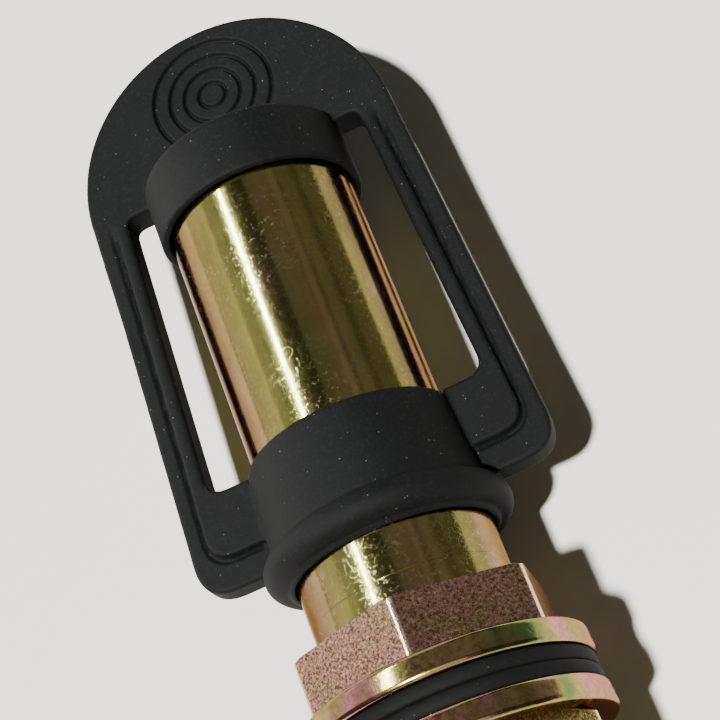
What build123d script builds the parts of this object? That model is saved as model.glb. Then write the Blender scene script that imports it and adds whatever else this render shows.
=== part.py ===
"""Beacon mounting spigot with a rubber protective cap.

The axis of the spigot runs along Y, with the tip of the tube towards +Y.
The flat side of the rubber strap faces +Z, and X is across the strap.
The origin is on the axis, in the plane where the vehicle's bracket is clamped.
All sizes are in millimetres.
"""
from build123d import *
from math import cos, radians, sin, sqrt, tan
import os

os.makedirs("parts", exist_ok=True)

# ---- driving dimensions -------------------------------------------------
TUBE_R = 12.0                 # outside radius of the plug-in tube
TUBE_WALL = 2.0
TUBE_BOTTOM = 15.0
TUBE_TIP = 75.25
BORE_R = TUBE_R - TUBE_WALL
LEAD_IN_R = 11.8              # the tip is turned down a little under the cap
LEAD_IN_LOW = 68.65
GROOVE_R = 11.6               # groove that keeps the rubber collar in place
GROOVE_LOW = 33.0
GROOVE_HIGH = 36.1
PLUG_HIGH = 27.0              # top of the base's spigot inside the tube

SEAL_T = 1.75                 # each rubber sealing washer
WASHER_T = 3.0                # each steel washer
WASHER_R = 17.0
SEAL_R = 16.7
THREAD_R = 9.0                # M18 x 1.5
ENGAGED_R = 8.8               # the stem where nut and washers sit
FREE_THREAD_HIGH = -19.8
STEM_END = -32.0
HEX_AF = 27.5                 # hexagon turned on the base
HEX_T = 7.0
SHOULDER_R = 12.25
NUT_AF = 27.0
CHAMFER_START = 1.05          # radius where the corners' chamfer starts, over half the flats
NUT_T = 14.8
NUT_TURN = 12.0               # degrees between the nut's corners and the base's
CABLE_BORE_R = 4.2
RUN = 0.05                    # radial clearance of a running fit

COLLAR_TOP = 36.0             # rubber collar round the foot of the tube
COLLAR_BOTTOM = 20.4
COLLAR_TOP_R = 12.9
COLLAR_R = 13.45
BEAD_R = 15.2
BEAD_TOP = 25.0
BEAD_MIDDLE = 22.6
LIP_R = 12.9
RUBBER_GAP = 0.05             # rubber bore over the tube, radially

CAP_RIM = 68.75               # rubber cap over the tip of the tube
CAP_TOP = 77.05
CAP_R = 13.2

PLATE_BACK = -2.2             # flat rubber plate: straps, feet and arch
PLATE_FRONT = 2.4
FLANGE_FRONT = 1.6
ARCH_Y = 76.6
ARCH_R = 20.8
FOOT_Y = 24.6
FOOT_HALF = 22.9
FOOT_CORNER = 5.6
STEP_FOOT_Y = 28.4
STEP_HALF_LOW = 20.2
STEP_HALF_HIGH = 18.2
STEP_CORNER = 3.0
WINDOW_LOW = 36.4
WINDOW_HIGH = 76.0
WINDOW_IN = 9.0
WINDOW_HALF_LOW = 17.9
WINDOW_HALF_HIGH = 16.3
WINDOW_CORNER = 2.4
STRAP_LOW = 42.0              # where the straps leave the feet
STRAP_HIGH = 70.0             # where the straps join the arch
RING_Y = 87.4
RING_RADII = (1.8, 3.8, 5.8, 8.0)
RING_WIDTH = 0.7
RING_DEPTH = 0.4

ROD_R = 2.0                   # live conductor down the middle
SLEEVE_R = 3.6
ROD_LOW = -43.0
CUP_R = 5.0
CUP_LOW = 52.0
CUP_HIGH = 68.0
CUP_FLOOR = 3.0
SPRING_R = 3.2
SPRING_WIRE_R = 0.4
SPRING_TURNS = 6
BUTTON_R = 3.0
BUTTON_FLANGE_R = 3.8
BUTTON_FLANGE_T = 1.5
BUTTON_TOP = 75.0
INSULATOR_LOW = 58.0
INSULATOR_TOP = 73.0
CIRCLIP_T = 1.0
BUSH_T = 7.0
BUSH_FLANGE_R = 6.9
BUSH_FLANGE_T = 2.0
STEM_BUSH_T = 10.0
TERMINAL_HOLE_R = 2.15
TERMINAL_R = 4.5
LOCK_WASHER_R = 3.8
TERMINAL_NUT_AF = 7.0
STACK = (0.8, 0.8, 1.0, 3.2)  # washer, blade terminal, lock washer and nut
TAB_W = 6.3
TAB_T = STACK[1]
TAB_L = 11.0
TAB_BEND = 6.6                # from the axis to the back of the bent tab


# ---- helpers ------------------------------------------------------------
def along_y(y):
    """A sketch plane across the axis at height y, extruding towards +Y."""
    return Plane(origin=(0, y, 0), x_dir=(1, 0, 0), z_dir=(0, 1, 0))


def rod(radius, low, high):
    return extrude(along_y(low) * Circle(radius), high - low)


def tube(outer, inner, low, high):
    return rod(outer, low, high) - rod(inner, low, high)


def hexagon(across_flats, low, high, turn):
    """A hexagonal prism about Y; turn=0 puts a corner at the top."""
    corner_r = across_flats / sqrt(3)
    points = []
    for k in range(6):
        angle = radians(turn + 60 * k)
        points.append((corner_r * sin(angle), low, corner_r * cos(angle)))
    wire = Polyline(*points, close=True)
    return extrude(make_face(wire), high - low, dir=(0, 1, 0))


def chamfered_hexagon(across_flats, low, high, turn, chamfer_low, chamfer_high):
    """A hexagon with its corners turned off at 30 degrees."""
    body = hexagon(across_flats, low, high, turn)
    corner_r = across_flats / sqrt(3)
    flat_r = across_flats / 2 * CHAMFER_START
    wide = corner_r + 2
    drop = (wide - flat_r) * tan(radians(30))
    y0 = low + (drop if chamfer_low else 0)
    y1 = high - (drop if chamfer_high else 0)
    profile = [(0, low), (flat_r if chamfer_low else wide, low)]
    if chamfer_low:
        profile.append((wide, y0))
    if chamfer_high:
        profile.append((wide, y1))
    profile.append((flat_r if chamfer_high else wide, high))
    profile.append((0, high))
    return body & turned(profile)


def turned(profile):
    """Turn a closed (radius, y) outline about Y."""
    return revolve(make_face(Polyline(*profile, close=True)), Axis.Y)


def rounded_ring(outer, inner, low, high, edge):
    """A flat ring whose outer edges are rounded."""
    ring = tube(outer, inner, low, high)
    outer_edges = ring.edges().filter_by(GeomType.CIRCLE).sort_by(SortBy.RADIUS)[-2:]
    return fillet(outer_edges, edge)


def slab(face, low, high):
    """A flat outline in the XY plane, given a thickness in Z."""
    return extrude(Plane.XY.offset(low) * face, high - low)


def save(name, part):
    export_step(part, f"parts/{name}.step")


# ---- metal spigot -------------------------------------------------------
def spigot_tube():
    body = tube(TUBE_R, BORE_R, TUBE_BOTTOM, LEAD_IN_LOW)
    body -= tube(TUBE_R + 1, GROOVE_R, GROOVE_LOW, GROOVE_HIGH)
    lead_in = tube(LEAD_IN_R, BORE_R, LEAD_IN_LOW, TUBE_TIP)
    tip_edges = lead_in.edges().filter_by(GeomType.CIRCLE).group_by(Axis.Y)[-1]
    return body + chamfer(tip_edges, 0.5)


def hex_base():
    hex_low = SEAL_T + WASHER_T
    hex_high = hex_low + HEX_T
    body = chamfered_hexagon(HEX_AF, hex_low, hex_high, 0, False, True)
    body += rod(SHOULDER_R, hex_high, TUBE_BOTTOM)
    body += rod(BORE_R, TUBE_BOTTOM, PLUG_HIGH)
    body += rod(ENGAGED_R, FREE_THREAD_HIGH, hex_low)
    free_thread = rod(THREAD_R, STEM_END, FREE_THREAD_HIGH)
    body += chamfer(free_thread.edges().group_by(Axis.Y)[0], 1.0)
    return body - rod(CABLE_BORE_R, STEM_END, PLUG_HIGH)


def upper_washer():
    return rounded_ring(WASHER_R, THREAD_R + RUN, SEAL_T, SEAL_T + WASHER_T, 0.9)


def lower_washer():
    return rounded_ring(WASHER_R, THREAD_R + RUN, -SEAL_T - WASHER_T, -SEAL_T, 0.9)


def upper_seal():
    return rounded_ring(SEAL_R, THREAD_R + RUN, 0, SEAL_T, 0.3)


def lower_seal():
    return rounded_ring(SEAL_R, THREAD_R + RUN, -SEAL_T, 0, 0.3)


def clamp_nut():
    high = -SEAL_T - WASHER_T
    low = high - NUT_T
    body = chamfered_hexagon(NUT_AF, low, high, NUT_TURN, True, True)
    body -= rod(THREAD_R + RUN, low, high)
    return body


# ---- live centre contact ------------------------------------------------
def tip_insulator():
    body = rod(BORE_R, INSULATOR_LOW, INSULATOR_TOP)
    body -= rod(CUP_R, INSULATOR_LOW, CUP_HIGH)
    body -= rod(BUTTON_R + RUN, CUP_HIGH, INSULATOR_TOP)
    return body


def insulator_circlip():
    ring = tube(BORE_R, BORE_R - 1.5, INSULATOR_TOP, INSULATOR_TOP + CIRCLIP_T)
    gap = Pos(0, INSULATOR_TOP, -BORE_R) * Box(4.0, 4 * CIRCLIP_T, 6.0)
    return ring - gap


def contact_button():
    top_of_flange = CUP_HIGH
    body = rod(BUTTON_R, top_of_flange - BUTTON_FLANGE_T, BUTTON_TOP)
    body = fillet(body.edges().group_by(Axis.Y)[-1], 1.2)
    return body + rod(BUTTON_FLANGE_R, top_of_flange - BUTTON_FLANGE_T, top_of_flange)


def contact_spring():
    low = CUP_LOW + CUP_FLOOR + SPRING_WIRE_R
    high = CUP_HIGH - BUTTON_FLANGE_T - SPRING_WIRE_R
    path = Helix((high - low) / SPRING_TURNS, high - low, SPRING_R)
    section = Plane(origin=path @ 0, z_dir=path % 0) * Circle(SPRING_WIRE_R)
    coil = sweep(section, path=path, is_frenet=True)
    return Pos(0, low, 0) * Rot(-90, 0, 0) * coil


def spring_cup():
    body = rod(CUP_R, CUP_LOW, CUP_HIGH)
    body -= rod(BUTTON_FLANGE_R + RUN, CUP_LOW + CUP_FLOOR, CUP_HIGH)
    return body - rod(ROD_R, CUP_LOW, CUP_LOW + CUP_FLOOR)


def contact_rod():
    return rod(ROD_R, ROD_LOW, CUP_LOW + CUP_FLOOR)


def insulating_sleeve():
    return tube(SLEEVE_R, ROD_R, STEM_END + STEM_BUSH_T, PLUG_HIGH - BUSH_T)


def base_bush():
    body = rod(CABLE_BORE_R, PLUG_HIGH - BUSH_T, PLUG_HIGH)
    body += rod(BUSH_FLANGE_R, PLUG_HIGH, PLUG_HIGH + BUSH_FLANGE_T)
    return body - rod(ROD_R, PLUG_HIGH - BUSH_T, PLUG_HIGH + BUSH_FLANGE_T)


def stem_bush():
    body = rod(CABLE_BORE_R, STEM_END, STEM_END + STEM_BUSH_T)
    body += rod(BUSH_FLANGE_R, STEM_END - BUSH_FLANGE_T, STEM_END)
    return body - rod(ROD_R, STEM_END - BUSH_FLANGE_T, STEM_END + STEM_BUSH_T)


# ---- terminal stack under the stem --------------------------------------
def terminal_level(k):
    """The upper face of the k-th piece under the stem bush."""
    return STEM_END - BUSH_FLANGE_T - sum(STACK[:k])


def terminal_washer():
    return tube(TERMINAL_R, TERMINAL_HOLE_R, terminal_level(1), terminal_level(0))


def blade_terminal():
    high = terminal_level(1)
    low = terminal_level(2)
    body = rod(TERMINAL_R, low, high)
    body += Pos(0, (low + high) / 2, -TAB_BEND / 2) * Box(TAB_W, TAB_T, TAB_BEND)
    body += Pos(0, high - TAB_L / 2, -TAB_BEND + TAB_T / 2) * Box(TAB_W, TAB_L, TAB_T)
    tab_hole = extrude(Plane.XY.offset(-TAB_BEND - 1) * Pos(0, high - TAB_L + 3.2) * Circle(0.9), 3)
    return body - rod(TERMINAL_HOLE_R, low, high) - tab_hole


def terminal_lock_washer():
    ring = tube(LOCK_WASHER_R, TERMINAL_HOLE_R, terminal_level(3), terminal_level(2))
    gap = Pos(LOCK_WASHER_R, terminal_level(2), 0) * Box(5, 4, 0.6)
    return ring - gap


def terminal_nut():
    low = terminal_level(4)
    high = terminal_level(3)
    body = chamfered_hexagon(TERMINAL_NUT_AF, low, high, 0, True, False)
    return body - rod(ROD_R, low, high)


# ---- rubber moulding ----------------------------------------------------
def bar_outline(half_low, half_high, low, high, corner):
    """A tapered outline across the axis with rounded lower corners."""
    wire = Polyline(
        (-half_high, high), (-half_low, low), (half_low, low), (half_high, high), close=True
    )
    face = make_face(wire)
    return fillet(face.vertices().group_by(Axis.Y)[0], corner)


def plate_outline():
    face = bar_outline(FOOT_HALF, ARCH_R, FOOT_Y, ARCH_Y, FOOT_CORNER)
    return face + Pos(0, ARCH_Y) * Circle(ARCH_R)


def step_outline():
    return bar_outline(STEP_HALF_LOW, STEP_HALF_HIGH, STEP_FOOT_Y, WINDOW_HIGH, STEP_CORNER)


def window(side):
    """One of the two openings beside the tube; side is -1 or 1."""
    wire = Polyline(
        (side * WINDOW_IN, WINDOW_HIGH),
        (side * WINDOW_IN, WINDOW_LOW),
        (side * WINDOW_HALF_LOW, WINDOW_LOW),
        (side * WINDOW_HALF_HIGH, WINDOW_HIGH),
        close=True,
    )
    face = make_face(wire)
    outer = sorted(face.vertices(), key=lambda v: abs(v.X))[-2:]
    return fillet(outer, WINDOW_CORNER)


def rubber_plate():
    body = slab(plate_outline(), PLATE_BACK, PLATE_FRONT)
    below_arch = Pos(0, WINDOW_HIGH - 50) * Rectangle(60, 100)
    flange = (plate_outline() & below_arch) - step_outline()
    body -= slab(flange, FLANGE_FRONT, PLATE_FRONT + 1)
    for side in (-1, 1):
        body -= slab(window(side), PLATE_BACK - 1, PLATE_FRONT + 1)
    return body


def between(body, low, high):
    middle = (low + high) / 2
    return body & (Pos(0, middle, 0) * Box(80, high - low, 40))


def retaining_collar(plate):
    profile = Polyline(
        (COLLAR_TOP_R - 0.5, COLLAR_TOP), (COLLAR_TOP_R, COLLAR_TOP - 0.5), (COLLAR_R, BEAD_TOP)
    )
    lip = ThreePointArc((COLLAR_R, BEAD_TOP), (BEAD_R, BEAD_MIDDLE), (LIP_R, COLLAR_BOTTOM))
    bore_r = TUBE_R + RUBBER_GAP
    rib_r = GROOVE_R + RUBBER_GAP
    rib_low = GROOVE_LOW + RUBBER_GAP
    rest = Polyline(
        (LIP_R, COLLAR_BOTTOM), (bore_r, COLLAR_BOTTOM), (bore_r, rib_low), (rib_r, rib_low),
        (rib_r, COLLAR_TOP), (COLLAR_TOP_R - 0.5, COLLAR_TOP)
    )
    sleeve = revolve(make_face(profile + lip + rest), Axis.Y)
    feet = between(plate, FOOT_Y - 1, STRAP_LOW)
    feet -= rod(bore_r, FOOT_Y - 2, COLLAR_TOP)
    feet -= rod(COLLAR_TOP_R, COLLAR_TOP, STRAP_LOW + 1)
    return sleeve + feet


def strap(plate, side):
    half = between(plate, STRAP_LOW, STRAP_HIGH)
    solids = sorted(half.solids(), key=lambda s: s.center().X * side)
    return solids[-1]


def arch_grip(plate):
    body = between(plate, STRAP_HIGH, ARCH_Y + ARCH_R + 1)
    body -= rod(CAP_R, STRAP_HIGH - 1, CAP_TOP)
    face = Plane.XY.offset(PLATE_FRONT - RING_DEPTH) * Pos(0, RING_Y)
    for radius in RING_RADII:
        ring = Circle(radius + RING_WIDTH / 2) - Circle(radius - RING_WIDTH / 2)
        body -= extrude(face * ring, 2)
    return body.solids().sort_by(SortBy.VOLUME)[-1]


def cap_sleeve():
    body = rod(CAP_R, CAP_RIM, CAP_TOP)
    body = fillet(body.edges().group_by(Axis.Y)[-1], 0.6)
    return body - rod(TUBE_R + RUBBER_GAP, CAP_RIM, TUBE_TIP + 0.1)


# ---- build --------------------------------------------------------------
plate = rubber_plate()
nodes = {
    "spigot_tube": spigot_tube(),
    "hex_base": hex_base(),
    "upper_washer": upper_washer(),
    "upper_seal": upper_seal(),
    "lower_seal": lower_seal(),
    "lower_washer": lower_washer(),
    "clamp_nut": clamp_nut(),
    "tip_insulator": tip_insulator(),
    "insulator_circlip": insulator_circlip(),
    "contact_button": contact_button(),
    "contact_spring": contact_spring(),
    "spring_cup": spring_cup(),
    "contact_rod": contact_rod(),
    "insulating_sleeve": insulating_sleeve(),
    "base_bush": base_bush(),
    "stem_bush": stem_bush(),
    "terminal_washer": terminal_washer(),
    "blade_terminal": blade_terminal(),
    "terminal_lock_washer": terminal_lock_washer(),
    "terminal_nut": terminal_nut(),
    "retaining_collar": retaining_collar(plate),
    "left_strap": strap(plate, -1),
    "right_strap": strap(plate, 1),
    "arch_grip": arch_grip(plate),
    "cap_sleeve": cap_sleeve(),
}
for name, part in nodes.items():
    save(name, part)
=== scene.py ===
"""Looks of a beacon mounting spigot with its rubber cap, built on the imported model.

The spigot's axis runs along +Y and the flat side of the rubber faces +Z.
Sizes in this script are in millimetres; to_metres() scales every mesh once, when it is made.
"""

import math

import bmesh
import bpy
from mathutils import Matrix, Vector


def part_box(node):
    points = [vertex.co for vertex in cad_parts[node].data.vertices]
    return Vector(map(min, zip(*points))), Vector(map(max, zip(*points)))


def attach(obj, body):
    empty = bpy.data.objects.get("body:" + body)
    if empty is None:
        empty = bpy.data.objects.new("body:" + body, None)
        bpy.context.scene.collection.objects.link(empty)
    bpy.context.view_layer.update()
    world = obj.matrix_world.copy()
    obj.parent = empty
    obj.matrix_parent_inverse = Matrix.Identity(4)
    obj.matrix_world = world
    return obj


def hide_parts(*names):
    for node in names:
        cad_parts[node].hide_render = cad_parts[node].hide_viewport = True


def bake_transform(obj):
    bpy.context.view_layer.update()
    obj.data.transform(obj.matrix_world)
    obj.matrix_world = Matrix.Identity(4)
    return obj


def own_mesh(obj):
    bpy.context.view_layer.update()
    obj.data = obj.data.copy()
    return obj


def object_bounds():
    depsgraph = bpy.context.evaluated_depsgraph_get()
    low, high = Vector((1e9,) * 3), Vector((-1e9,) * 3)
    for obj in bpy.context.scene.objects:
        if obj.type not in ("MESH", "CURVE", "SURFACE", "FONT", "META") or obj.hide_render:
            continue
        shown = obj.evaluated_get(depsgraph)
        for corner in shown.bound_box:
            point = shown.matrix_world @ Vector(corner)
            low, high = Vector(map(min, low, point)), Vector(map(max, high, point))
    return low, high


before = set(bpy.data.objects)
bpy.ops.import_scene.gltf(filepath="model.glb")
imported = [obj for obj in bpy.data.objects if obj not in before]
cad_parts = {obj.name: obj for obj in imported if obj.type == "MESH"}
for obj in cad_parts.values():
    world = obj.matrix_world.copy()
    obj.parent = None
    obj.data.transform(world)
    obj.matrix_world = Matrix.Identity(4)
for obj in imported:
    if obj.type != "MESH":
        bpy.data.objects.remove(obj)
cad_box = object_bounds()

# ---- sizes ---------------------------------------------------------------
MM = 0.001


def low(node, axis=1):
    """A CAD node's lowest coordinate along an axis, in millimetres."""
    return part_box(node)[0][axis] / MM


def high(node, axis=1):
    """A CAD node's highest coordinate along an axis, in millimetres."""
    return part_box(node)[1][axis] / MM


FLOOR = cad_box[0][2] / MM

# Tube. Its tip is turned down a little as a lead-in.
TUBE_R = high("spigot_tube", 0)
BORE_R = TUBE_R - 2.0
TUBE_LOW = low("spigot_tube")
TUBE_TIP = high("spigot_tube")
LEAD_IN_R = 11.8
LEAD_IN_LOW = 68.65
TIP_CHAMFER = 0.5

# Hexagon base with its threaded stem. A chamfer is the end face's width over the flats.
HEX_LOW = high("upper_washer")
HEX_HIGH = HEX_LOW + 7.0
HEX_FLATS = high("hex_base", 0) - low("hex_base", 0)
HEX_CHAMFER = 1.115
CHAMFER_SLOPE = math.tan(math.radians(30))
CORNER_SHARPNESS = 90
PAST_CORNERS = 0.6
STEM_END = low("hex_base")
PLUG_TOP = high("hex_base")
PLUG_R = BORE_R - 0.05
CABLE_BORE_R = 4.2

# Thread. Its crests and flanks are shares of the pitch.
THREAD_R = 9.0
PITCH = 1.5
THREAD_DEPTH = 0.92
THREAD_CREST = 0.14
THREAD_FLANKS = 0.62
THREAD_STEP = 0.125

# Nut
NUT_LOW = low("clamp_nut")
NUT_HIGH = high("clamp_nut")
NUT_FLATS = 27.0
NUT_CHAMFER = 1.05
NUT_TURN = 12.0
NUT_MOUTH_R = THREAD_R + 0.35
NUT_THREAD_GAP = 0.12

# Washers and seals
WASHER_R = high("upper_washer", 2)
WASHER_BORE_R = THREAD_R + 0.15
SEAL_R = high("upper_seal", 0)
SEAL_BULGE = 0.2

# Contact's spring
SPRING_TURNS = 6
WIRE_R = 0.4

# Collar and cap
COLLAR_TOP = 36.0
COLLAR_LOW = low("retaining_collar")
COLLAR_LOW_R = 12.75
COLLAR_TOP_R = 12.9
COLLAR_R = 13.45
BEAD_R = 15.2
BEAD_CENTRE_R = 13.25
BEAD_CENTRE_Y = 22.85
BEAD_TOP = 25.0
RUBBER_BORE_R = 12.2
CAP_R = high("cap_sleeve", 0)
CAP_RIM = low("cap_sleeve")
CAP_TOP = high("cap_sleeve")
CAP_ROOF = TUBE_TIP + 0.15

# Flat moulding: arch, feet, the rib inside its flange, and the window between the straps
PLATE_BACK = low("arch_grip", 2)
PLATE_FRONT = high("arch_grip", 2)
FLANGE_FRONT = PLATE_FRONT - 0.8
ARCH_R = 20.8
ARCH_Y = high("arch_grip") - ARCH_R
FOOT_Y = 24.6
FOOT_HALF = 22.84
FOOT_CORNER = 7.56
FOOT_ROOT = 12.6
STEP_FOOT_Y = 28.4
STEP_HALF_LOW = 20.2
STEP_HALF_HIGH = 18.2
STEP_CORNER = 4.05
WINDOW_LOW = 36.4
WINDOW_HIGH = 76.0
WINDOW_HALF_LOW = 17.9
WINDOW_HALF_HIGH = 16.3
WINDOW_CORNER_LOW = 3.12
WINDOW_CORNER_HIGH = 1.2
FLANGE_EDGE = 0.45
RIB_EDGE = 0.3
BACK_EDGE = 0.5
VOXEL = 0.2

# Thumb rings
RING_Y = 87.4
RING_RADII = (1.8, 3.8, 5.8, 8.0)
RING_DEPTH = 0.6
RING_HALF = 0.36
RINGS_REACH = 9.2

# Flange's rise to the arch, and the groove and crown of each strap's rib
RAMP_LOW = 60.0
GROOVE_OUT = 0.3
GROOVE_HALF = 0.45
GROOVE_DEPTH = 0.4
RIB_CROWN = 0.35

# Heights at which the straps are cut, into a foot end and an arch end each
BEND_LOW = 37.6
BEND_HIGH = 45.5
STRAP_TOP = 70.0
STRAP_INNER = 14.6


# ---- mesh helpers --------------------------------------------------------
def to_metres(bm, name):
    """Turn a bmesh in millimetres into a smooth-shaded object in metres."""
    bmesh.ops.recalc_face_normals(bm, faces=bm.faces)
    bmesh.ops.scale(bm, vec=(MM, MM, MM), verts=bm.verts)
    mesh = bpy.data.meshes.new(name)
    bm.to_mesh(mesh)
    bm.free()
    for face in mesh.polygons:
        face.use_smooth = True
    obj = bpy.data.objects.new(name, mesh)
    bpy.context.scene.collection.objects.link(obj)
    return obj


def even_normals(obj, angle=40.0):
    """Keep flat faces flat in the shading, next to small rounded edges."""
    obj.data.set_sharp_from_angle(angle=math.radians(angle))
    weighted = obj.modifiers.new("even_normals", "WEIGHTED_NORMAL")
    weighted.keep_sharp = True
    return obj


def softened(points, radii, closed=True, steps=4):
    """Round an outline's corners; radii has one for each point, and 0 leaves a corner sharp."""
    count = len(points)
    result = []
    for i, point in enumerate(points):
        here = Vector(point)
        if radii[i] == 0 or (not closed and i in (0, count - 1)):
            result.append(tuple(here))
            continue
        before = Vector(points[i - 1]) - here
        after = Vector(points[(i + 1) % count]) - here
        reach = min(radii[i], before.length * 0.45, after.length * 0.45)
        start = here + before.normalized() * reach
        end = here + after.normalized() * reach
        for k in range(steps + 1):
            t = k / steps
            mixed = start * (1 - t) ** 2 + here * 2 * t * (1 - t) + end * t ** 2
            result.append(tuple(mixed))
    return result


def lathe(name, profile, segments, shape=None):
    """Turn a closed (radius, y) outline about Y. shape(turn, radius, y) may change the radius."""
    bm = bmesh.new()
    rings = []
    for radius, y in profile:
        ring = []
        for k in range(segments):
            turn = 2 * math.pi * k / segments
            r = shape(turn, radius, y) if shape else radius
            ring.append(bm.verts.new((r * math.sin(turn), y, r * math.cos(turn))))
        rings.append(ring)
    for i, ring in enumerate(rings):
        following = rings[(i + 1) % len(rings)]
        for k in range(segments):
            n = (k + 1) % segments
            bm.faces.new((ring[k], ring[n], following[n], following[k]))
    bmesh.ops.remove_doubles(bm, verts=bm.verts, dist=1e-5)
    return to_metres(bm, name)


def rows(low_end, high_end, step):
    """Evenly spaced heights from one end to the other."""
    count = max(1, round(abs(high_end - low_end) / step))
    return [low_end + (high_end - low_end) * k / count for k in range(count + 1)]


def cone(start, end, steps=24):
    """Points along a cone's side after its start; each is (radius, y)."""
    (r0, y0), (r1, y1) = start, end
    return [(r0 + (r1 - r0) * k / steps, y0 + (y1 - y0) * k / steps) for k in range(1, steps + 1)]


def hexagon_sizes(flats, chamfer):
    """Radius of the round end face, radius past the corners, and depth of the corners' chamfer."""
    end_r = flats / 2 * chamfer
    wide = flats / math.sqrt(3) + PAST_CORNERS
    return end_r, wide, (wide - end_r) * CHAMFER_SLOPE


def hexagon_radius(turn, flats, start):
    """Distance from the axis to a hexagon's side, with its corners a little rounded."""
    total = 0.0
    for k in range(6):
        facing = math.cos(turn - start - math.radians(30 + 60 * k))
        if facing > 0:
            total += (facing / (flats / 2)) ** CORNER_SHARPNESS
    return total ** (-1 / CORNER_SHARPNESS)


def thread_radius(turn, y):
    """Distance from the axis to the crest or root of the right-hand thread."""
    phase = (y / PITCH - turn / (2 * math.pi)) % 1.0
    slope = (abs(2 * phase - 1) - THREAD_CREST) / THREAD_FLANKS
    return THREAD_R - THREAD_DEPTH * min(1.0, max(0.0, slope))


# ---- metal pieces --------------------------------------------------------
def make_tube():
    """The plug-in tube, with its lead-in and chamfered tip."""
    outline = [
        (BORE_R, TUBE_LOW), (TUBE_R, TUBE_LOW), (TUBE_R, LEAD_IN_LOW), (LEAD_IN_R, LEAD_IN_LOW + 0.3),
        (LEAD_IN_R, TUBE_TIP - TIP_CHAMFER), (LEAD_IN_R - TIP_CHAMFER, TUBE_TIP),
        (BORE_R + TIP_CHAMFER, TUBE_TIP), (BORE_R, TUBE_TIP - TIP_CHAMFER),
    ]
    rounding = [0.25, 0.04, 0.1, 0.1, 0.25, 0.25, 0.25, 0.25]
    tube = lathe("tube", softened(outline, rounding), 288)
    return even_normals(tube)


def make_hex_base():
    """The plug inside the tube, the neck, the hexagon and the threaded stem, in one turned piece."""
    end_r, wide, drop = hexagon_sizes(HEX_FLATS, HEX_CHAMFER)

    def shape(turn, radius, y):
        if y < HEX_LOW - 0.01 and radius > CABLE_BORE_R + 0.5:
            end_chamfer = THREAD_R - 1.0 + (y - STEM_END)
            return min(radius, thread_radius(turn, y), end_chamfer)
        if radius > end_r - 0.01:
            return min(radius, hexagon_radius(turn, HEX_FLATS, 0.0))
        return radius

    profile = [(CABLE_BORE_R, PLUG_TOP), (PLUG_R, PLUG_TOP), (PLUG_R, TUBE_LOW)]
    shoulder = [(PLUG_R, TUBE_LOW), (TUBE_R, TUBE_LOW), (TUBE_R, HEX_HIGH), (end_r, HEX_HIGH)]
    profile += softened(shoulder, [0, 0.03, 0.3, 0], closed=False)[1:]
    profile += cone((end_r, HEX_HIGH), (wide, HEX_HIGH - drop))
    profile += [(wide, y) for y in rows(HEX_HIGH - drop, HEX_LOW + 0.25, 0.6)]
    profile += [(wide - 0.3, HEX_LOW + 0.08), (wide - 0.9, HEX_LOW), (THREAD_R, HEX_LOW)]
    profile += [(THREAD_R, y) for y in rows(HEX_LOW - 0.05, STEM_END, THREAD_STEP)]
    profile += [(CABLE_BORE_R, STEM_END)]
    base = lathe("hex_and_stem", profile, 240, shape)
    return even_normals(base, 35.0)


def turned_finish(base):
    """Give the neck above the hexagon the tube's finish, and the thread the washers'."""
    base.data.materials.append(MATERIALS["zinc_smooth"])
    base.data.materials.append(MATERIALS["zinc_satin"])
    for face in base.data.polygons:
        centre = face.center / MM
        if centre.y > HEX_HIGH + 0.2 and math.hypot(centre.x, centre.z) > BORE_R:
            face.material_index = 1
        elif centre.y < HEX_LOW - 0.1:
            face.material_index = 2


def make_nut():
    """The clamping nut, chamfered at both ends, with its inside thread."""
    end_r, wide, drop = hexagon_sizes(NUT_FLATS, NUT_CHAMFER)
    start = math.radians(NUT_TURN)

    def shape(turn, radius, y):
        if radius > end_r - 0.01:
            return min(radius, hexagon_radius(turn, NUT_FLATS, start))
        if radius < THREAD_R + 0.2:
            to_end = min(y - NUT_LOW, NUT_HIGH - y)
            return max(thread_radius(turn, y) + NUT_THREAD_GAP, NUT_MOUTH_R - to_end)
        return radius

    profile = [(NUT_MOUTH_R, NUT_HIGH), (end_r, NUT_HIGH)]
    profile += cone((end_r, NUT_HIGH), (wide, NUT_HIGH - drop))
    profile += [(wide, y) for y in rows(NUT_HIGH - drop, NUT_LOW + drop, 0.8)]
    profile += cone((wide, NUT_LOW + drop), (end_r, NUT_LOW))
    profile += [(NUT_MOUTH_R, NUT_LOW)]
    profile += [(THREAD_R, y) for y in rows(NUT_LOW + 0.05, NUT_HIGH - 0.05, THREAD_STEP)]
    nut = lathe("nut", profile, 240, shape)
    return even_normals(nut, 35.0)


def make_washer(name, node):
    """A steel washer with well rounded outer edges."""
    bottom = low(node)
    top = high(node)
    outline = [(WASHER_BORE_R, bottom), (WASHER_R, bottom), (WASHER_R, top), (WASHER_BORE_R, top)]
    return even_normals(lathe(name, softened(outline, [0.2, 0.7, 0.7, 0.2], steps=8), 256), 60.0)


def make_seal(name, node):
    """A rubber washer whose rim bulges where it is squeezed."""
    bottom = low(node)
    top = high(node)
    outline = [
        (WASHER_BORE_R, bottom), (SEAL_R - SEAL_BULGE, bottom), (SEAL_R, (bottom + top) / 2),
        (SEAL_R - SEAL_BULGE, top), (WASHER_BORE_R, top),
    ]
    return even_normals(lathe(name, softened(outline, [0.2, 0.45, 0.6, 0.45, 0.2]), 224), 60.0)


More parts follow.
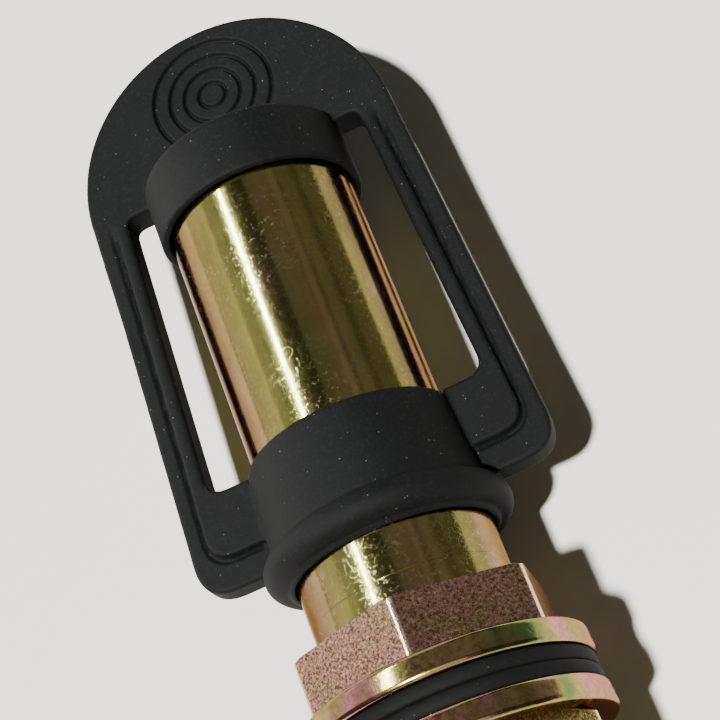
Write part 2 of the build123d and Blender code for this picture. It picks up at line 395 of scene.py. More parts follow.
def make_spring():
    """The contact's coil spring, in the place of its CAD node."""
    bottom = low("contact_spring") + WIRE_R
    travel = high("contact_spring") - WIRE_R - bottom
    coil_r = high("contact_spring", 0) - WIRE_R
    per_turn = 40
    sides = 12
    bm = bmesh.new()
    sections = []
    for i in range(SPRING_TURNS * per_turn + 1):
        turn = 2 * math.pi * i / per_turn
        y = bottom + travel * i / (SPRING_TURNS * per_turn)
        section = []
        for k in range(sides):
            angle = 2 * math.pi * k / sides
            r = coil_r + WIRE_R * math.cos(angle)
            height = y + WIRE_R * math.sin(angle)
            section.append(bm.verts.new((r * math.sin(turn), height, r * math.cos(turn))))
        sections.append(section)
    for here, following in zip(sections, sections[1:]):
        for k in range(sides):
            n = (k + 1) % sides
            bm.faces.new((here[k], here[n], following[n], following[k]))
    bm.faces.new(sections[0])
    bm.faces.new(sections[-1])
    return to_metres(bm, "contact_coil")


# ---- rubber moulding -----------------------------------------------------
def arch_arc(first_angle):
    """Points of the arch's outer edge on the right, from an angle in radians up to its top."""
    points = []
    steps = 40
    for k in range(steps + 1):
        angle = first_angle + (math.pi / 2 - first_angle) * k / steps
        points.append((ARCH_R * math.cos(angle), ARCH_Y + ARCH_R * math.sin(angle)))
    return points


def window_side():
    """The inner edge on the right: foot end, window and the arch's lower edge, from the bottom."""
    corners = [
        (FOOT_ROOT, FOOT_Y), (FOOT_ROOT, WINDOW_LOW), (WINDOW_HALF_LOW, WINDOW_LOW),
        (WINDOW_HALF_HIGH, WINDOW_HIGH), (FOOT_ROOT, WINDOW_HIGH),
    ]
    radii = [0, 0, WINDOW_CORNER_LOW, WINDOW_CORNER_HIGH, 0]
    return softened(corners, radii, closed=False, steps=8)


def outer_side(half_low, half_high, foot, corner, top):
    """The outer edge on the right, from the foot's inner end to the start of the arch."""
    corners = [(FOOT_ROOT, foot), (half_low, foot), (half_high, top)]
    return softened(corners, [0, corner, 0], closed=False, steps=12)


def slab(bm, outline, front, front_edge):
    """Add a flat plate with rounded edges, from the moulding's back to a height in Z."""
    verts = [bm.verts.new((x, y, PLATE_BACK)) for x, y in outline]
    face = bm.faces.new(verts)
    made = bmesh.ops.extrude_face_region(bm, geom=[face])
    raised = [v for v in made["geom"] if isinstance(v, bmesh.types.BMVert)]
    bmesh.ops.translate(bm, vec=(0, 0, front - PLATE_BACK), verts=raised)
    for level, width in ((raised, front_edge), (verts, BACK_EDGE)):
        ends = set(level)
        edges = [e for e in bm.edges if e.verts[0] in ends and e.verts[1] in ends]
        bmesh.ops.bevel(bm, geom=edges, offset=width, segments=3, affect="EDGES", profile=0.5)


def joined(objects, name):
    """One mesh object out of several."""
    bm = bmesh.new()
    for obj in objects:
        bm.from_mesh(obj.data)
        bpy.data.objects.remove(obj)
    mesh = bpy.data.meshes.new(name)
    bm.to_mesh(mesh)
    bm.free()
    result = bpy.data.objects.new(name, mesh)
    bpy.context.scene.collection.objects.link(result)
    return result


def apply_modifiers(obj):
    """Work an object's modifiers into its mesh."""
    graph = bpy.context.evaluated_depsgraph_get()
    mesh = bpy.data.meshes.new_from_object(obj.evaluated_get(graph))
    obj.modifiers.clear()
    obj.data = mesh


def plates():
    """The flat part of the moulding: the flange all round and the raised inner rib."""
    flange = outer_side(FOOT_HALF, ARCH_R, FOOT_Y, FOOT_CORNER, ARCH_Y) + arch_arc(0.03)
    rib = outer_side(STEP_HALF_LOW, STEP_HALF_HIGH, STEP_FOOT_Y, STEP_CORNER, WINDOW_HIGH - 0.6)
    rib += arch_arc(0.035)
    parts = []
    for name, outer, front, front_edge in (
        ("flange", flange, FLANGE_FRONT, FLANGE_EDGE), ("rib", rib, PLATE_FRONT, RIB_EDGE)
    ):
        bm = bmesh.new()
        slab(bm, mirrored_ring(outer, window_side()), front, front_edge)
        parts.append(to_metres(bm, name))
    return parts


def flange_ramps():
    """The two stretches where the flange rises to the arch's face, with a chamfered outer edge."""
    parts = []
    bottom = PLATE_BACK + 1.0
    inner = STEP_HALF_HIGH - 0.8
    for side in (-1, 1):
        bm = bmesh.new()
        sections = []
        for y in rows(RAMP_LOW, ARCH_Y + 1.0, 0.5):
            t = min(1.0, (y - RAMP_LOW) / (ARCH_Y - RAMP_LOW))
            top = FLANGE_FRONT + (PLATE_FRONT - FLANGE_FRONT) * t * t * (3 - 2 * t)
            outer = ARCH_R + (FOOT_HALF - ARCH_R) * max(0.0, 1 - (y - FOOT_Y) / (ARCH_Y - FOOT_Y))
            corners = (
                (inner, bottom), (outer, bottom), (outer, top - 0.35), (outer - 0.3, top), (inner, top)
            )
            sections.append([bm.verts.new((side * x, y, z)) for x, z in corners])
        for here, following in zip(sections, sections[1:]):
            for k in range(len(here)):
                n = (k + 1) % len(here)
                bm.faces.new((here[k], here[n], following[n], following[k]))
        bm.faces.new(sections[0])
        bm.faces.new(sections[-1])
        parts.append(to_metres(bm, "flange_ramp"))
    return parts


def mirrored_ring(outer, inner):
    """The closed outline of the arch, straps and feet from its right side's two edges."""
    right = list(outer)
    left = [(-x, y) for x, y in reversed(outer[:-1])]
    back_up = [(-x, y) for x, y in inner[1:]]
    back_down = list(reversed(inner[1:]))
    return right + left + back_up + back_down


def make_collar():
    """The sleeve round the tube's foot: a round bead, then a taper to its top."""
    outline = [
        (RUBBER_BORE_R, COLLAR_LOW), (COLLAR_LOW_R, COLLAR_LOW), (COLLAR_LOW_R + 0.2, COLLAR_LOW + 0.5)
    ]
    out = BEAD_R - BEAD_CENTRE_R
    up = out * 1.02
    for k in range(17):
        angle = math.radians(-95 + 185 * k / 16)
        outline.append((BEAD_CENTRE_R + out * math.cos(angle), BEAD_CENTRE_Y + up * math.sin(angle)))
    outline += [(COLLAR_R - 0.02, BEAD_TOP - 0.1), (COLLAR_R, BEAD_TOP + 0.3)]
    outline += [(COLLAR_TOP_R + 0.03, COLLAR_TOP - 0.6), (COLLAR_TOP_R - 0.1, COLLAR_TOP - 0.2)]
    outline += [(COLLAR_TOP_R - 0.35, COLLAR_TOP), (RUBBER_BORE_R, COLLAR_TOP)]
    return lathe("collar", outline, 224)


def make_cap():
    """The cap over the tube's tip."""
    inside = [(0.0, CAP_ROOF), (RUBBER_BORE_R, CAP_ROOF)]
    outside = [(RUBBER_BORE_R, CAP_RIM), (CAP_R, CAP_RIM), (CAP_R, CAP_TOP), (0.0, CAP_TOP)]
    return lathe("cap", inside + softened(outside, [0, 0.35, 0.9, 0], closed=False), 224)


def from_rings(vert):
    """Distance from the thumb rings' centre, seen from the front."""
    return math.hypot(vert.co.x, vert.co.y - RING_Y)


def groove(across):
    """Depth of a rounded groove, 1 in its middle and 0 from its edge, where `across` is 1."""
    return (1 - across ** 2) ** 1.5 if across < 1 else 0.0


def press_rings(bm):
    """Press the thumb rings into the arch's face."""
    near = [
        e for e in bm.edges
        if all(v.co.z > PLATE_FRONT - 0.5 and from_rings(v) < RINGS_REACH for v in e.verts)
    ]
    bmesh.ops.subdivide_edges(bm, edges=near, cuts=1, use_grid_fill=True)
    for vert in bm.verts:
        if vert.co.z < PLATE_FRONT - 0.3:
            continue
        distance = from_rings(vert)
        for radius in RING_RADII:
            vert.co.z -= RING_DEPTH * groove(abs(distance - radius) / RING_HALF)


def distance_to(line, x, y):
    """Distance from a point to a line of straight runs."""
    nearest = math.inf
    for (x0, y0), (x1, y1) in zip(line, line[1:]):
        run = (x1 - x0) ** 2 + (y1 - y0) ** 2
        share = ((x - x0) * (x1 - x0) + (y - y0) * (y1 - y0)) / run if run else 0.0
        share = min(1.0, max(0.0, share))
        nearest = min(nearest, math.hypot(x - x0 - share * (x1 - x0), y - y0 - share * (y1 - y0)))
    return nearest


def shape_ribs(bm):
    """Press a groove outside each strap's inner rib, and round the rib's top."""
    line = outer_side(
        STEP_HALF_LOW + GROOVE_OUT, STEP_HALF_HIGH + GROOVE_OUT, STEP_FOOT_Y - GROOVE_OUT,
        STEP_CORNER, WINDOW_HIGH,
    )
    for vert in bm.verts:
        x, y, z = abs(vert.co.x), vert.co.y, vert.co.z
        if z < FLANGE_FRONT - 0.2 or x < COLLAR_R + 0.4 or not STEP_FOOT_Y - 1 < y < WINDOW_HIGH:
            continue
        fade = min(1.0, (WINDOW_HIGH - y) / 3)
        vert.co.z -= GROOVE_DEPTH * fade * groove(distance_to(line, x, y) / GROOVE_HALF)
        up = (y - WINDOW_LOW) / (WINDOW_HIGH - WINDOW_LOW)
        inner = WINDOW_HALF_LOW + (WINDOW_HALF_HIGH - WINDOW_HALF_LOW) * up
        outer = STEP_HALF_LOW + (STEP_HALF_HIGH - STEP_HALF_LOW) * up
        if up > 0 and z > FLANGE_FRONT + 0.3 and inner < x < outer:
            off_centre = (2 * x - inner - outer) / (outer - inner)
            vert.co.z -= RIB_CROWN * min(fade, up * 12) * off_centre ** 2


def moulding():
    """The whole rubber moulding as one mesh with soft moulded edges, in millimetres."""
    whole = joined([*plates(), *flange_ramps(), make_collar(), make_cap()], "moulding")
    remesh = whole.modifiers.new("remesh", "REMESH")
    remesh.mode = "VOXEL"
    remesh.voxel_size = VOXEL * MM
    remesh.use_smooth_shade = True
    smooth = whole.modifiers.new("smooth", "SMOOTH")
    smooth.factor = 0.5
    smooth.iterations = 3
    apply_modifiers(whole)
    bm = bmesh.new()
    bm.from_mesh(whole.data)
    bmesh.ops.scale(bm, vec=(1 / MM, 1 / MM, 1 / MM), verts=bm.verts)
    bpy.data.objects.remove(whole)
    return bm


def region(centre):
    """Which piece of the moulding a face belongs to."""
    side = "left" if centre.x < 0 else "right"
    if abs(centre.x) > STRAP_INNER and BEND_LOW < centre.y < BEND_HIGH:
        return f"{side}_strap_foot_end"
    if abs(centre.x) > STRAP_INNER and BEND_HIGH < centre.y < STRAP_TOP:
        return f"{side}_strap_arch_end"
    return "collar_and_feet" if centre.y < (BEND_LOW + BEND_HIGH) / 2 else "arch_and_cap"


def rubber_pieces():
    """Cut the moulding across the straps at three heights, and close each cut."""
    bm = moulding()
    press_rings(bm)
    shape_ribs(bm)
    for height in (BEND_LOW, BEND_HIGH, STRAP_TOP):
        across = [f for f in bm.faces if abs(f.calc_center_median().x) > STRAP_INNER]
        edges = {e for f in across for e in f.edges}
        verts = {v for f in across for v in f.verts}
        bmesh.ops.bisect_plane(
            bm, geom=[*verts, *edges, *across], plane_co=(0, height, 0), plane_no=(0, 1, 0), dist=1e-4
        )
    bm.faces.ensure_lookup_table()
    bm.faces.index_update()
    groups = {}
    for face in bm.faces:
        groups.setdefault(region(face.calc_center_median()), set()).add(face.index)
    pieces = {}
    for name, members in groups.items():
        part = bm.copy()
        part.faces.ensure_lookup_table()
        extra = [f for f in part.faces if f.index not in members]
        bmesh.ops.delete(part, geom=extra, context="FACES")
        open_edges = [e for e in part.edges if e.is_boundary]
        bmesh.ops.holes_fill(part, edges=open_edges, sides=0)
        pieces[name] = to_metres(part, name)
        pieces[name].data.set_sharp_from_angle(angle=math.radians(60))
    bm.free()
    return pieces


# ---- materials -----------------------------------------------------------
class Shader:
    """A material's node tree, with short calls for the nodes used here."""

    SOCKETS = {
        "base_color": "Base Color", "metallic": "Metallic", "roughness": "Roughness",
        "normal": "Normal", "specular": "Specular IOR Level", "specular_tint": "Specular Tint",
    }

    def __init__(self, name):
        self.material = bpy.data.materials.new(name)
        self.material.use_nodes = True
        self.tree = self.material.node_tree
        self.bsdf = self.tree.nodes["Principled BSDF"]
        self.place = self.tree.nodes.new("ShaderNodeTexCoord").outputs["Object"]

    def put(self, socket, value):
        """Link a node's output to a socket, or set the socket's own value."""
        if isinstance(value, bpy.types.NodeSocket):
            self.tree.links.new(value, socket)
        else:
            socket.default_value = value

    def stretched(self, x, y, z):
        """The object's coordinates with a scale on each axis; a small scale draws a pattern out."""
        node = self.tree.nodes.new("ShaderNodeMapping")
        self.put(node.inputs["Vector"], self.place)
        node.inputs["Scale"].default_value = (x, y, z)
        return node.outputs["Vector"]

    def noise(self, scale, detail=3.0, rough=0.55, place=None, distortion=0.0):
        node = self.tree.nodes.new("ShaderNodeTexNoise")
        self.put(node.inputs["Vector"], place or self.place)
        node.inputs["Scale"].default_value = scale
        node.inputs["Detail"].default_value = detail
        node.inputs["Roughness"].default_value = rough
        node.inputs["Distortion"].default_value = distortion
        return node.outputs["Fac"]

    def cells(self, scale):
        node = self.tree.nodes.new("ShaderNodeTexVoronoi")
        self.put(node.inputs["Vector"], self.place)
        node.inputs["Scale"].default_value = scale
        return node.outputs["Distance"]

    def turn(self):
        """Angle round the spigot's axis in radians, 0 at its front."""
        parts = self.tree.nodes.new("ShaderNodeSeparateXYZ")
        self.put(parts.inputs[0], self.place)
        return self.math("ARCTAN2", parts.outputs["X"], parts.outputs["Z"])

    def math(self, operation, a, b=0.0, c=0.0):
        node = self.tree.nodes.new("ShaderNodeMath")
        node.operation = operation
        for socket, value in zip(node.inputs, (a, b, c)):
            self.put(socket, value)
        return node.outputs[0]

    def ramp(self, value, *stops):
        """stops are (position, grey or colour)."""
        node = self.tree.nodes.new("ShaderNodeValToRGB")
        self.put(node.inputs["Fac"], value)
        elements = node.color_ramp.elements
        while len(elements) < len(stops):
            elements.new(0.5)
        for element, (position, colour) in zip(elements, stops):
            element.position = position
            colour = (colour,) * 3 if isinstance(colour, (int, float)) else colour
            element.color = (*colour, 1.0)
        return node.outputs["Color"]

    def mix(self, amount, a, b, blend="MIX"):
        node = self.tree.nodes.new("ShaderNodeMix")
        node.data_type = "RGBA"
        node.blend_type = blend
        self.put(node.inputs["Factor"], amount)
        self.put(node.inputs["A"], (*a, 1.0) if isinstance(a, tuple) else a)
        self.put(node.inputs["B"], (*b, 1.0) if isinstance(b, tuple) else b)
        return node.outputs["Result"]

    def bump(self, height, distance, strength, base=None):
        """A bump of a distance in millimetres, on top of another one if base is given."""
        node = self.tree.nodes.new("ShaderNodeBump")
        node.inputs["Strength"].default_value = strength
        node.inputs["Distance"].default_value = distance * MM
        self.put(node.inputs["Height"], height)
        if base:
            self.put(node.inputs["Normal"], base)
        return node.outputs["Normal"]

    def done(self, **inputs):
        """Put the finished values on the shader, by the names in SOCKETS, and give the material."""
        for name, value in inputs.items():
            value = (*value, 1.0) if isinstance(value, tuple) else value
            self.put(self.bsdf.inputs[self.SOCKETS[name]], value)
        return self.material


# Tints round the tube, by the angle from its front in degrees: partly the yellow film's own streaks,
# partly painted reflection and painted shade; the dark tints at 42 and 52 degrees are painted shade that
# dims the floor's reflection.
FILM_TINTS_AND_PAINTED_SHADE = (
    (-162, (0.34, 0.23, 0.08)), (-115, (0.32, 0.27, 0.06)), (-68, (0.20, 0.125, 0.085)),
    (-50, (0.24, 0.155, 0.10)), (-42, (0.32, 0.225, 0.10)), (-28, (0.33, 0.295, 0.08)),
    (-13, (0.26, 0.26, 0.075)), (3, (0.28, 0.255, 0.085)), (14, (0.40, 0.285, 0.115)),
    (30, (0.29, 0.245, 0.075)), (42, (0.20, 0.18, 0.045)), (52, (0.15, 0.12, 0.055)),
    (63, (0.26, 0.18, 0.10)), (75, (0.32, 0.21, 0.13)), (115, (0.32, 0.27, 0.06)),
    (162, (0.34, 0.23, 0.08)),
)


def film_and_painted_shade(s):
    """The film's streaks with painted reflection and shade by angle, which run along the tube and waver
    a little.
    """
    wobble = s.math("SUBTRACT", s.noise(140.0, 3.0, 0.6, s.stretched(1.0, 0.12, 1.0)), 0.5)
    turn = s.math("MULTIPLY_ADD", wobble, 0.55, s.turn())
    position = s.math("MULTIPLY_ADD", turn, 0.5 / math.pi, 0.5)
    return s.ramp(position, *((0.5 + degrees / 360, tone) for degrees, tone in FILM_TINTS_AND_PAINTED_SHADE))


def smooth_zinc(name):
    """Bright yellow passivated zinc: streaked film with painted reflection and shade by angle, soft
    mottling, fine scratches and specks.
    """
    s = Shader(name)
    cloud = s.noise(330.0, 4.0, 0.62, s.stretched(1.0, 0.6, 1.0))
    dull = s.ramp(cloud, (0.35, 0.86), (0.65, 1.08))
    # The tints by angle round the tube are partly painted reflection and painted shade.
    colour = s.mix(1.0, film_and_painted_shade(s), dull, "MULTIPLY")
    pink = s.ramp(s.noise(120.0, 3.0, 0.55, s.stretched(1.0, 0.5, 1.0)), (0.60, 0.0), (0.72, 0.45))
    colour = s.mix(pink, colour, (0.46, 0.28, 0.20))
    green = s.ramp(s.noise(150.0, 3.0, 0.6, s.stretched(1.2, 0.7, 1.2)), (0.60, 0.0), (0.70, 0.5))
    colour = s.mix(green, colour, (0.20, 0.28, 0.07))
    worms = s.noise(560.0, 1.5, 0.5, distortion=0.9)
    line = s.ramp(s.math("ABSOLUTE", s.math("SUBTRACT", worms, 0.5)), (0.003, 1.0), (0.012, 0.0))
    where = s.ramp(s.noise(85.0, 2.0, 0.5), (0.54, 0.0), (0.66, 0.42))
    scratches = s.math("MULTIPLY", line, where)
    specks = s.ramp(s.noise(1900.0, 3.0, 0.75), (0.54, 0.0), (0.66, 1.0))
    dusty = s.ramp(s.noise(110.0, 2.0, 0.5), (0.42, 0.12), (0.62, 0.5))
    marks = s.math("MAXIMUM", scratches, s.math("MULTIPLY", specks, dusty))
    colour = s.mix(marks, colour, (0.46, 0.42, 0.27))
    rough = s.math("MULTIPLY_ADD", marks, 0.32, 0.09)
    grain = s.noise(1700.0, 2.0, 0.7)
    rough = s.math("MULTIPLY_ADD", grain, 0.08, rough)
    normal = s.bump(s.noise(240.0, 3.0, 0.55, s.stretched(1.0, 0.35, 1.0)), 0.04, 0.5)
    drawn = s.noise(1300.0, 3.0, 0.6, s.stretched(1.0, 0.05, 1.0))
    normal = s.bump(drawn, 0.006, 0.6, normal)
    normal = s.bump(grain, 0.008, 0.6, normal)
    normal = s.bump(marks, 0.015, 0.5, normal)
    return s.done(
        base_color=colour, metallic=1.0, roughness=rough, normal=normal, specular_tint=(0.44, 0.36, 0.30)
    )


def satin_zinc(name):
    """Tumbled washers: the same film, duller, with pink, green and gold patches."""
    s = Shader(name)
    patches = s.noise(112.0, 3.0, 0.6, s.stretched(1.0, 0.5, 1.0))
    colour = s.ramp(
        patches, (0.36, (0.14, 0.22, 0.07)), (0.43, (0.34, 0.27, 0.09)), (0.49, (0.42, 0.28, 0.15)),
        (0.56, (0.50, 0.22, 0.23)), (0.66, (0.36, 0.28, 0.11)),
    )
    grain = s.noise(1500.0, 3.0, 0.7)
    colour = s.mix(s.ramp(grain, (0.40, 0.35), (0.56, 0.0)), colour, (0.14, 0.10, 0.05))
    rough = s.math("MULTIPLY_ADD", grain, 0.14, 0.10)
    normal = s.bump(s.noise(420.0, 4.0, 0.6), 0.06, 0.6)
    normal = s.bump(grain, 0.02, 0.5, normal)
    return s.done(
        base_color=colour, metallic=1.0, roughness=rough, normal=normal, specular_tint=(0.64, 0.52, 0.44)
    )


def pitted_zinc(name, tones, first_corner):
    """Grained hexagon under the film: dark pits, bright grains, and its six corners painted bright as a
    highlight, also worn to less roughness.

    tones are its patches' three colours, and first_corner is one corner's angle in radians.
    """
    s = Shader(name)
    patches = s.noise(220.0, 4.0, 0.6)
    colour = s.ramp(patches, *zip((0.38, 0.52, 0.68), tones))
    green = s.ramp(s.noise(190.0, 3.0, 0.6), (0.62, 0.0), (0.74, 0.4))
    colour = s.mix(green, colour, (0.34, 0.36, 0.15))
    grain = s.noise(3000.0, 3.0, 0.7)
    pits = s.ramp(grain, (0.40, 0.0), (0.50, 1.0))
    colour = s.mix(pits, (0.15, 0.08, 0.05), colour)
    bright = s.ramp(grain, (0.56, 0.0), (0.66, 0.8))
    colour = s.mix(bright, colour, (0.90, 0.70, 0.60))
    from_corner = s.math("PINGPONG", s.math("SUBTRACT", s.turn(), first_corner), math.pi / 6)
    # A painted highlight along the six corners, with less roughness there as wear.
    corner_highlight_and_wear = s.ramp(from_corner, (0.010, 0.85), (0.022, 0.0))
    colour = s.mix(corner_highlight_and_wear, colour, (0.84, 0.72, 0.58))
    rough = s.math("MULTIPLY_ADD", pits, -0.10, 0.32)
    rough = s.math("MULTIPLY_ADD", corner_highlight_and_wear, -0.06, rough)
    normal = s.bump(grain, 0.030, 0.8)
    normal = s.bump(s.noise(1500.0, 4.0, 0.7), 0.035, 0.7, normal)
    return s.done(
        base_color=colour, metallic=1.0, roughness=rough, normal=normal, specular_tint=(0.44, 0.37, 0.28)
    )


def rubber(name, tone, dust):
    """Matt moulded rubber with a fine grain, greyish scuffs and specks; dust is their share, 0 to 1."""
    s = Shader(name)
    broad = s.noise(160.0, 4.0, 0.65)
    colour = s.mix(broad, tuple(c * 0.6 for c in tone), tuple(c * 1.5 for c in tone))
    grain = s.noise(2300.0, 3.0, 0.7)
    scuffs = s.ramp(grain, (0.52, 0.0), (0.70, 0.5 * dust))
    colour = s.mix(scuffs, colour, tuple(c * 4.0 for c in tone))
    for spacing, size, share in ((520.0, 0.07, 0.58), (1300.0, 0.13, 0.55)):
        speck = s.ramp(s.cells(spacing), (size * 0.6, 1.0), (size, 0.0))
        rare = s.ramp(s.noise(spacing * 0.55, 1.0, 0.5), (share, 0.0), (share + 0.06, dust))
        colour = s.mix(s.math("MULTIPLY", speck, rare), colour, (0.085, 0.085, 0.08))
    rough = s.math("MULTIPLY_ADD", grain, 0.16, 0.66)
    normal = s.bump(grain, 0.05, 0.6)
    normal = s.bump(s.noise(700.0, 3.0, 0.6), 0.06, 0.35, normal)
    return s.done(base_color=colour, roughness=rough, normal=normal, specular=0.14)


def plastic(name, tone, roughness):
    """Moulded or machined plastic with a faint grain."""
    s = Shader(name)
    darker = tuple(c * 0.9 for c in tone)
    lighter = tuple(c * 1.08 for c in tone)
    colour = s.mix(s.noise(300.0, 3.0), darker, lighter)
    rings = s.noise(900.0, 2.0, 0.5, s.stretched(1.0, 4.0, 1.0))
    rough = s.math("MULTIPLY_ADD", rings, 0.12, roughness - 0.06)
    return s.done(base_color=colour, roughness=rough, normal=s.bump(rings, 0.02, 0.4))


def plain_metal(name, tone, dark, roughness):
    """Brass or spring steel with turning marks and a little tarnish."""
    s = Shader(name)
    tarnish = s.ramp(s.noise(240.0, 4.0, 0.6), (0.45, 0.0), (0.75, 0.8))
    colour = s.mix(tarnish, tone, dark)
    marks = s.noise(1500.0, 2.0, 0.5, s.stretched(0.4, 3.0, 0.4))
    rough = s.math("MULTIPLY_ADD", marks, 0.2, roughness - 0.08)
    return s.done(base_color=colour, metallic=1.0, roughness=rough, normal=s.bump(marks, 0.015, 0.5))


def floor_paint():
    """A pale matt table top."""
    s = Shader("pale_floor")
    colour = s.mix(s.noise(9.0, 3.0), (0.80, 0.795, 0.735), (0.84, 0.835, 0.775))
    return s.done(base_color=colour, roughness=0.55, specular=0.25)


MATERIALS = {
    "zinc_smooth": smooth_zinc("zinc_smooth"),
    "zinc_satin": satin_zinc("zinc_satin"),
    "zinc_hexagon": pitted_zinc(
        "zinc_hexagon", ((0.48, 0.33, 0.17), (0.58, 0.31, 0.23), (0.62, 0.32, 0.29)), 0.0
    ),
    "zinc_nut": pitted_zinc(
        "zinc_nut", ((0.46, 0.38, 0.10), (0.48, 0.40, 0.12), (0.54, 0.36, 0.20)), math.radians(NUT_TURN)
    ),
    "cap_rubber": rubber("cap_rubber", (0.0029, 0.0035, 0.0035), 1.0),
    "seal_rubber": rubber("seal_rubber", (0.0042, 0.0043, 0.0044), 0.4),
    "nylon": plastic("nylon", (0.74, 0.72, 0.66), 0.42),
    "sleeve_plastic": plastic("sleeve_plastic", (0.05, 0.05, 0.055), 0.4),
    "brass": plain_metal("brass", (0.72, 0.52, 0.22), (0.40, 0.26, 0.12), 0.28),
    "spring_steel": plain_metal("spring_steel", (0.52, 0.52, 0.53), (0.30, 0.28, 0.26), 0.30),
}


def paint(obj, material):
    """Give an object one material, by its name in MATERIALS."""
    obj.data.materials.clear()
    obj.data.materials.append(MATERIALS[material])


def finish_piece(obj, slot, material, *nodes):
    """Let a piece stand for its CAD nodes, with its material; slot is not used."""
    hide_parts(*nodes)
    paint(obj, material)


def place(obj, body, slot, material, *nodes):
    """Put a piece on its body, in place of its CAD nodes, with its finish."""
    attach(obj, body)
    finish_piece(obj, slot, material, *nodes)


# ---- assembly ------------------------------------------------------------
tube = make_tube()
hex_and_stem = make_hex_base()
nut = make_nut()
top_washer = make_washer("top_washer", "upper_washer")
under_washer = make_washer("under_washer", "lower_washer")
place(tube, "root", "yellow_zinc", "zinc_smooth", "spigot_tube")
place(hex_and_stem, "root", "yellow_zinc", "zinc_hexagon", "hex_base")
turned_finish(hex_and_stem)
place(nut, "nut", "yellow_zinc", "zinc_nut", "clamp_nut")
place(top_washer, "root", "yellow_zinc", "zinc_satin", "upper_washer")
place(under_washer, "clamp_washers", "yellow_zinc", "zinc_satin", "lower_washer")
place(make_seal("top_seal", "upper_seal"), "root", "seal_rubber", "seal_rubber", "upper_seal")
place(make_seal("under_seal", "lower_seal"), "clamp_washers", "seal_rubber", "seal_rubber", "lower_seal")

rubber_parts = rubber_pieces()
place(rubber_parts["collar_and_feet"], "root", "cap_rubber", "cap_rubber", "retaining_collar")
place(rubber_parts["arch_and_cap"], "cap", "cap_rubber", "cap_rubber", "arch_grip", "cap_sleeve")
for side in ("left", "right"):
    foot_end = rubber_parts[f"{side}_strap_foot_end"]
    arch_end = rubber_parts[f"{side}_strap_arch_end"]
    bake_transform(foot_end)
    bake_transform(arch_end)
    finish_piece(foot_end, "cap_rubber", "cap_rubber", f"{side}_strap")
    finish_piece(arch_end, "cap_rubber", "cap_rubber", f"{side}_strap")

coil = make_spring()
place(coil, "root", "spring_steel", "spring_steel", "contact_spring")
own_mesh(coil)

# CAD nodes whose shape is kept, with their materials
INNER = {
    "tip_insulator": "nylon", "base_bush": "nylon", "stem_bush": "nylon",
    "insulating_sleeve": "sleeve_plastic", "insulator_circlip": "spring_steel",
    "terminal_lock_washer": "spring_steel",
    "contact_button": "brass", "spring_cup": "brass", "contact_rod": "brass",
    "terminal_washer": "brass", "blade_terminal": "brass", "terminal_nut": "brass",
}
for node, material in INNER.items():
    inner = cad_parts[node]
    paint(inner, material)
    weld = inner.modifiers.new("weld", "WELD")
    weld.merge_threshold = 0.002 * MM
    edges = inner.modifiers.new("soft_edges", "BEVEL")
    edges.width = 0.12 * MM
    edges.segments = 2
    edges.limit_method = "ANGLE"
    edges.angle_limit = math.radians(40)
    edges.harden_normals = True


# ---- floor, light and camera ---------------------------------------------
FLOOR_R = 7000
LIGHT_DISTANCE = 1.2
SUN_WAY = (0.245, 0.27, -1.0)
CARD_TILT = 0.40
# Angle round the spigot in degrees, brightness, and width in metres of each reflected card.
REFLECTED_CARDS = (
    (-84, 0.75, 1.0), (-66, 0.35, 0.8), (-50, 0.30, 0.5), (-30, 180.0, 0.036),
    (20, 0.14, 0.7), (44, 0.09, 0.5), (66, 0.105, 0.9), (80, 0.12, 0.5),
)
CARD_LENGTH = 0.65

CAMERA_AT = Vector((29.48, -48.29, 197.27))
LOOKS_AT = Vector((4.63, 45.32, 0))
CAMERA_ROLL = -21.87
LENS = 91.62


def add_floor():
    """A wide pale table top, just under the object."""
    bm = bmesh.new()
    bmesh.ops.create_circle(bm, cap_ends=True, radius=FLOOR_R, segments=96)
    bmesh.ops.translate(bm, vec=(0, 0, FLOOR - 0.02), verts=bm.verts)
    floor = to_metres(bm, "floor")
    floor.data.materials.append(floor_paint())


def aimed(towards):
    """The turn of a light or camera that faces along a direction, its own Y as near Y as can be."""
    back = -Vector(towards).normalized()
    upward = Vector((0, 1, 0)) - back * back.y
    upward.normalize()
    side = upward.cross(back)
    return Matrix((side, upward, back)).transposed()


def add_light(name, kind, towards):
    """A light that shines along `towards` onto the middle of the object."""
    data = bpy.data.lights.new(name, kind)
    light = bpy.data.objects.new(name, data)
    bpy.context.scene.collection.objects.link(light)
    light.location = Vector((0, 0.04, 0)) - Vector(towards).normalized() * LIGHT_DISTANCE
    light.visible_camera = False
    light.rotation_mode = "QUATERNION"
    light.rotation_quaternion = aimed(towards).to_quaternion()
    return light


def add_key():
    """The main light, a sun that throws the shadow to the right."""
    key = add_light("key", "SUN", SUN_WAY).data
    key.energy = 9.4
    key.angle = math.radians(3.5)
    key.color = (1.0, 0.985, 0.955)


def add_card(name, towards, radiance, width, length, only=None):
    """A soft rectangle of even brightness; `only` is the collection that it lights."""
    card = add_light(name, "AREA", towards)
    card.data.shape = "RECTANGLE"
    card.data.size = width
    card.data.size_y = length
    card.data.energy = radiance * math.pi * width * length
    card.data.color = (1.0, 0.99, 0.97)
    if only:
        card.light_linking.receiver_collection = only


def card_way(azimuth):
    """The way a card shines, from its angle round the spigot's axis; 0 is above, + is to +X."""
    turn = math.radians(azimuth)
    spread = math.sqrt(1 - CARD_TILT ** 2)
    return (-spread * math.sin(turn), -CARD_TILT, -spread * math.cos(turn))


def lit_together(name, objects):
    """A set of pieces that a card lights on its own."""
    group = bpy.data.collections.new(name)
    for obj in objects:
        group.objects.link(obj)
    return group


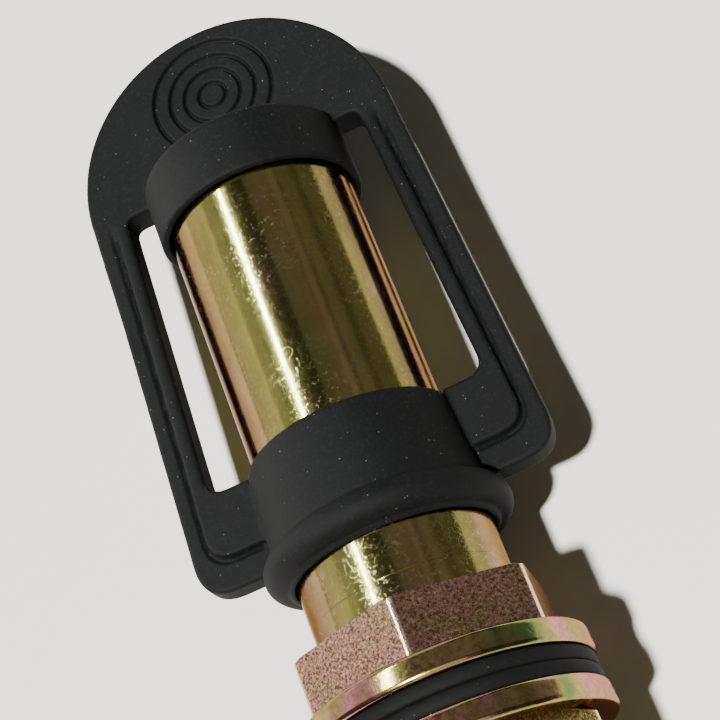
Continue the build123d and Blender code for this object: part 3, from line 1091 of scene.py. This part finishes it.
def add_world():
    """Dim surroundings for the reflections; the camera sees a pale wall beyond the floor."""
    world = bpy.data.worlds.new("studio")
    bpy.context.scene.world = world
    world.use_nodes = True
    tree = world.node_tree
    dim = tree.nodes["Background"]
    dim.inputs["Color"].default_value = (1.0, 0.94, 0.85, 1.0)
    dim.inputs["Strength"].default_value = 0.06
    pale = tree.nodes.new("ShaderNodeBackground")
    pale.inputs["Color"].default_value = (1.0, 0.99, 0.97, 1.0)
    pale.inputs["Strength"].default_value = 1.6
    seen = tree.nodes.new("ShaderNodeLightPath").outputs["Is Camera Ray"]
    both = tree.nodes.new("ShaderNodeMixShader")
    tree.links.new(seen, both.inputs[0])
    tree.links.new(dim.outputs[0], both.inputs[1])
    tree.links.new(pale.outputs[0], both.inputs[2])
    tree.links.new(both.outputs[0], tree.nodes["World Output"].inputs["Surface"])


def add_camera():
    """The camera, over the rubber's flat side and looking partly along the tube."""
    data = bpy.data.cameras.new("camera")
    data.sensor_width = 36.0
    data.lens = LENS
    data.clip_start = 0.01
    data.clip_end = 50.0
    camera = bpy.data.objects.new("camera", data)
    bpy.context.scene.collection.objects.link(camera)
    roll = Matrix.Rotation(math.radians(CAMERA_ROLL), 3, "Z")
    pose = (aimed(LOOKS_AT - CAMERA_AT) @ roll).to_4x4()
    pose.translation = CAMERA_AT * MM
    camera.matrix_world = pose
    bpy.context.scene.camera = camera


add_floor()
inner_metal = [
    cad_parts[node] for node, material in INNER.items() if material in ("brass", "spring_steel")
]
metal = lit_together("metal", [tube, hex_and_stem, nut, top_washer, under_washer, *inner_metal])
matt = lit_together("matt", rubber_parts.values())
add_key()
for azimuth, radiance, width in REFLECTED_CARDS:
    add_card(f"card_{azimuth}", card_way(azimuth), radiance, width, CARD_LENGTH, metal)
add_card("matt_side", card_way(-80), 13.0, 1.1, 0.55, matt)
add_card("above", (0.0, 0.45, -0.9), 0.8, 1.2, 0.8, metal)
add_card("far_end", (0.2, -0.95, -0.3), 1.0, 1.4, 1.0, metal)
add_card("near_end", (-0.2, 0.95, -0.3), 1.0, 1.4, 1.0, metal)
add_world()
add_camera()
